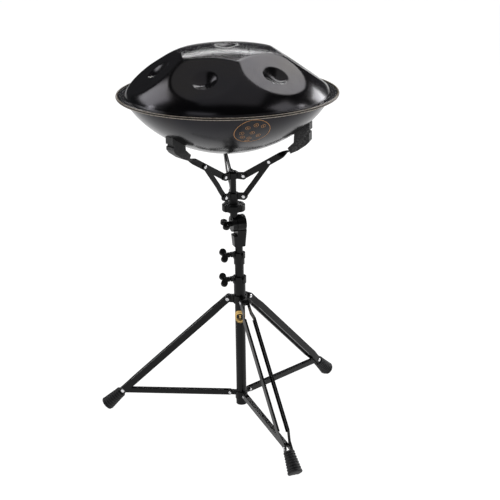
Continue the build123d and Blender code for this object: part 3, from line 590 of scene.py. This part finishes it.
def make_rim_trim():
    """Ribbed edging around the two flanges."""
    half_depth = TRIM_DEPTH / 2
    section = []
    for step in range(13):
        turn = math.pi * (step / 12 - 0.5)
        section.append((half_depth * math.cos(turn) - half_depth, TRIM_HALF_HEIGHT * math.sin(turn)))
    section = [(-TRIM_DEPTH, -TRIM_HALF_HEIGHT), *section, (-TRIM_DEPTH, TRIM_HALF_HEIGHT)]
    rib = (0.0, -0.10 * MM, -0.45 * MM, -0.10 * MM)
    rings = []
    samples = TRIM_RIBS * len(rib)
    for sample in range(samples):
        turn = math.tau * sample / samples
        swell = rib[sample % len(rib)]
        outward = Vector((math.cos(turn), math.sin(turn), 0))
        rings.append([
            PAN + outward * (RIM_RADIUS + across + swell * (1 + across / TRIM_DEPTH)) + Vector((0, 0, rise))
            for across, rise in section
        ])
    mesh = mesh_from_rings("rim_trim_ribbed", rings, closed=True)
    piece = add_object("rim_trim_ribbed", mesh, "pan", "trim_rubber")
    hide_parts("rim_trim")


def on_bowl(right, up):
    """Place on the bowl, found by pressing a flat print onto it, and the bowl's normal there."""
    outward = Vector((math.cos(PRINT_AZIMUTH), math.sin(PRINT_AZIMUTH), 0))
    sideways = Vector((-math.sin(PRINT_AZIMUTH), math.cos(PRINT_AZIMUTH), 0))
    step = 1 * MM
    fall = float(bowl_depth(PRINT_ALONG - step) - bowl_depth(PRINT_ALONG + step)) / (2 * step)
    normal = (outward * fall - Vector((0, 0, 1))).normalized()
    uphill = normal.cross(sideways) * -1
    if uphill.z < 0:
        uphill = uphill * -1
    base = Vector((PAN.x, PAN.y, PAN.z - FLANGE_GAP - STEEL))
    spot = outward * PRINT_ALONG + Vector((0, 0, -float(bowl_depth(PRINT_ALONG))))
    spot = spot + sideways * right + uphill * up
    for _ in range(8):
        gap = spot.z + float(bowl_depth(math.hypot(spot.x, spot.y)))
        spot = spot + normal * (gap * abs(normal.z))
    return base + spot, normal


def print_ring(build, place, size, segments):
    """Raised flat ring of ink on the bowl, at a place inside the print."""
    right, up = (share * PRINT_RADIUS for share in place)
    radius, width = size
    inner = radius - width
    rings = []
    for reach, lift in ((radius, 0.0), (radius, PRINT_FILM), (inner, PRINT_FILM), (inner, 0.0)):
        ring = []
        for step in range(segments):
            turn = math.tau * step / segments
            spot, normal = on_bowl(right + reach * math.cos(turn), up + reach * math.sin(turn))
            ring.append(spot + normal * lift)
        rings.append(ring)
    add_rings(build, rings)


def make_print():
    """Copper note map: an outline, eight small note rings, and a short mark under them."""
    build = bmesh.new()
    print_ring(build, (0, 0), PRINT_OUTLINE, segments=128)
    for place in PRINT_NOTES:
        print_ring(build, place, NOTE_RING, segments=32)
        print_ring(build, place, NOTE_DOT, segments=16)
    for place in PRINT_MARK:
        print_ring(build, place, MARK_DOT, segments=12)
    piece = add_object("note_map", finish_mesh("note_map", build), "pan", "copper_ink")
    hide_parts("note_map_print")


# ------------------------------------------------------------------ small parts of the stand
def bar_frame(azimuth, start, slope, centre=Vector((0, 0, 0))):
    """Start of a sloped bar, its length direction and its sideways direction."""
    turn = math.radians(azimuth)
    outward = Vector((math.cos(turn), math.sin(turn), 0))
    sideways = Vector((-math.sin(turn), math.cos(turn), 0))
    along = outward * math.cos(slope) + Vector((0, 0, math.sin(slope)))
    return centre + outward * start[0] + Vector((0, 0, start[1])), along, sideways


def pin_head(name, place, direction, radius, body):
    """Domed rivet head with a punched centre."""
    shares = ((1.0, 0.0), (1.0, 0.45), (0.93, 0.75), (0.75, 0.95), (0.42, 1.0), (0.36, 0.75), (0.02, 0.7))
    profile = [(radius * across, PIN_RISE * up) for across, up in shares]
    add_object(name, lathe(name, profile, place, direction, segments=28), body, "zinc")


def make_pin_heads():
    """Rivet heads at the leg hub, the brace hub, the feet and the outer faces of the struts."""
    for leg, azimuth in LEG_AZIMUTHS.items():
        start, along, sideways = bar_frame(azimuth, LEG_PIVOT, -LEG_SLOPE)
        slider, _, _ = bar_frame(azimuth, SLIDER_PIVOT, 0)
        for side in (-1, 1):
            face = sideways * side
            tag = f"{leg}_{'a' if side > 0 else 'b'}"
            pin_head(f"hub_pin_{tag}", start + face * HUB_PIN[0], face, HUB_PIN[1], f"leg_{leg}")
            pin_head(f"brace_pin_{tag}", slider + face * BRACE_PIN[0], face, BRACE_PIN[1], f"brace_{leg}")
        bare = sideways if sideways.y > 0 else sideways * -1
        foot_rivet = start + along * LEG_LENGTH + bare * FOOT_PIN[0]
        pin_head(f"foot_pin_{leg}", foot_rivet, bare, FOOT_PIN[1], f"leg_{leg}")
    for arm, azimuth in ARM_AZIMUTHS.items():
        start, along, sideways = bar_frame(azimuth, ARM_PIVOT, math.radians(ARM_SLOPE), CRADLE)
        spot = start + along * ARM_TO_STRUT + sideways * STRUT_PIN[0]
        pin_head(f"strut_pin_{arm}", spot, sideways, STRUT_PIN[1], f"arm_{arm}")


def foot_profile():
    """(radius, distance from the foot's top) down a flared and ribbed foot, in millimetres."""
    pitch, deep = 6.9, 2.0
    profile = [(0.02, 0), (12.8, 0), (13.8, 1.5), (14.0, 3.6)]
    for rib in range(FOOT_RIBS):
        along = 4.0 + rib * pitch
        crest = 13.8 + 4.8 * along / 53
        for share, drop in ((0.10, deep), (0.34, deep), (0.46, 0.5), (0.58, 0), (0.86, 0), (0.98, 0.5)):
            profile.append((crest - drop, along + share * pitch))
    return profile + [(18.4, 52.6), (17.6, 54.2), (15.8, 55), (8, 55.8), (0.02, 56)]


def make_ribbed_feet():
    """Rubber feet at the ends of the legs, flat where they stand."""
    sizes = [(radius * MM, distance * MM) for radius, distance in foot_profile()]
    for leg, azimuth in LEG_AZIMUTHS.items():
        start, along, _ = bar_frame(azimuth, LEG_PIVOT, -LEG_SLOPE)
        top = start + along * (LEG_LENGTH + FOOT_START)
        mesh = lathe(f"foot_ribbed_{leg}", sizes, top, along, segments=56)
        for vertex in mesh.vertices:
            vertex.co.z = max(vertex.co.z, 0)
        piece = add_object(f"foot_ribbed_{leg}", mesh, f"leg_{leg}", "foot_rubber")
        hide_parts(f"foot_{leg}")


def bent_disc(name, profile, slot):
    """Round sheet bent around the lower tube, from (radius, height off the tube) in millimetres."""
    rings = []
    for reach, lift in profile:
        ring = []
        for step in range(96):
            turn = math.tau * step / 96
            bend = reach * MM * math.cos(turn) / TUBE_RADIUS
            distance = TUBE_RADIUS + lift * MM
            height = BADGE_HEIGHT + reach * MM * math.sin(turn)
            ring.append(Vector((distance * math.sin(bend), -distance * math.cos(bend), height)))
        rings.append(ring)
    return add_object(name, mesh_from_rings(name, rings), "base", slot)


def make_badge():
    """Gold badge with a raised rim and inner ring, and a plain dark ring in its middle."""
    disc = bent_disc("badge_disc", (
        (16.4, 0.02), (16.4, 0.75), (16.2, 0.9), (15.1, 0.9), (14.8, 0.5), (12.0, 0.5),
        (11.8, 0.7), (11.2, 0.7), (11.0, 0.5), (0.05, 0.5),
    ), "gold_badge")
    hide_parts("badge")
    bent_disc("badge_mark", ((7.4, 0.51), (7.3, 0.7), (4.6, 0.7), (4.5, 0.51)), "seam_black")


# ------------------------------------------------------------------ CAD nodes that stay
EDGE_WIDTHS = {
    "claw": 1.2, "foot": 0.4, "spread_wheel": 0.5, "wing": 0.5, "rivet": 0.0, "tube": 0.3, "badge": 0.1,
    "seam": 0.0, "strut": 0.4, "brace": 0.35, "leg_strip": 0.3,
}


def edge_width(node):
    """Width of the rounded edge of a node, by its kind."""
    for kind, width in EDGE_WIDTHS.items():
        if kind in node:
            return width * MM
    return 0.6 * MM


def finish_cad_node(name, node):
    """Round the edges of a CAD node with modifiers and give it its material."""
    for entry in node.material_slots:
        entry.material = MATERIALS[entry.material.name.split(".")[0]]
    width = edge_width(name)
    if width == 0:
        return
    weld = node.modifiers.new("weld", "WELD")
    weld.merge_threshold = 0.00001
    flat = node.modifiers.new("flat", "DECIMATE")
    flat.decimate_type = "DISSOLVE"
    flat.angle_limit = math.radians(0.5)
    bevel = node.modifiers.new("edges", "BEVEL")
    bevel.limit_method = "ANGLE"
    bevel.angle_limit = math.radians(32)
    bevel.width = width
    bevel.segments = 2
    bevel.harden_normals = False
    shade = node.modifiers.new("shade", "WEIGHTED_NORMAL")
    shade.keep_sharp = False


# ------------------------------------------------------------------ studio
def softbox(name, azimuth, elevation, distance, width, height, radiance):
    """Rectangular light that faces the object; its power follows from its radiance."""
    turn, rise = math.radians(azimuth), math.radians(elevation)
    toward = Vector((math.cos(turn) * math.cos(rise), math.sin(turn) * math.cos(rise), math.sin(rise)))
    data = bpy.data.lights.new(name, "AREA")
    data.shape = "RECTANGLE"
    data.size = width
    data.size_y = height
    data.energy = radiance * math.pi * width * height
    light = bpy.data.objects.new(name, data)
    light.location = LIT_POINT + toward * distance
    light.rotation_euler = toward.to_track_quat("Z", "Y").to_euler()
    bpy.context.scene.collection.objects.link(light)


def camera_ray(tree):
    """Socket that is 1 for what the camera sees directly, and 0 for reflections and light."""
    return tree.nodes.new("ShaderNodeLightPath").outputs["Is Camera Ray"]


def make_studio():
    """Softboxes in a dark room that is white to the camera."""
    for name, values in SOFTBOXES.items():
        softbox(name, *values)
    world = bpy.data.worlds.new("studio")
    bpy.context.scene.world = world
    world.use_nodes = True
    backdrop = world.node_tree.nodes.new("ShaderNodeMix")
    backdrop.data_type = "RGBA"
    backdrop.inputs["A"].default_value = ROOM_GLOW
    backdrop.inputs["B"].default_value = (1, 1, 1, 1)
    links = world.node_tree.links
    links.new(camera_ray(world.node_tree), backdrop.inputs["Factor"])
    links.new(backdrop.outputs["Result"], world.node_tree.nodes["Background"].inputs["Color"])


def make_floor():
    """Plain pale floor that fills the view; it glows less on the object than to the camera."""
    mesh = bpy.data.meshes.new("floor")
    corners = [(x * FLOOR_REACH, y * FLOOR_REACH, 0) for x, y in ((-1, -1), (1, -1), (1, 1), (-1, 1))]
    mesh.from_pydata(corners, [], [(0, 1, 2, 3)])
    floor = bpy.data.objects.new("floor", mesh)
    bpy.context.scene.collection.objects.link(floor)
    pale = new_material(
        "floor",
        Base_Color=(0.10, 0.10, 0.10, 1),
        Roughness=1.0,
        Emission_Color=(1, 1, 1, 1),
    )
    glow = pale.node_tree.nodes.new("ShaderNodeMapRange")
    glow.inputs["To Min"].default_value = FLOOR_GLOW
    glow.inputs["To Max"].default_value = 1.0
    pale.node_tree.links.new(camera_ray(pale.node_tree), glow.inputs["Value"])
    paint(pale, "Emission Strength", glow.outputs["Result"])
    mesh.materials.append(pale)


def make_camera():
    camera = bpy.data.objects.new("camera", bpy.data.cameras.new("camera"))
    camera.data.lens = LENS
    camera.data.sensor_width = 36
    turned = Matrix.Rotation(CAMERA_YAW, 4, "Z") @ Matrix.Rotation(math.pi / 2 + CAMERA_PITCH, 4, "X")
    camera.matrix_world = Matrix.Translation(CAMERA_PLACE) @ turned @ Matrix.Rotation(CAMERA_ROLL, 4, "Z")
    bpy.context.scene.collection.objects.link(camera)
    bpy.context.scene.camera = camera


# ------------------------------------------------------------------ everything
make_camera()
make_studio()
make_floor()
bpy.context.scene.view_settings.view_transform = "Standard"

make_top_skin()
make_bowl_skin()
make_rim_trim()
make_print()
make_pin_heads()
make_ribbed_feet()
make_badge()
for name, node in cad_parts.items():
    finish_cad_node(name, node)
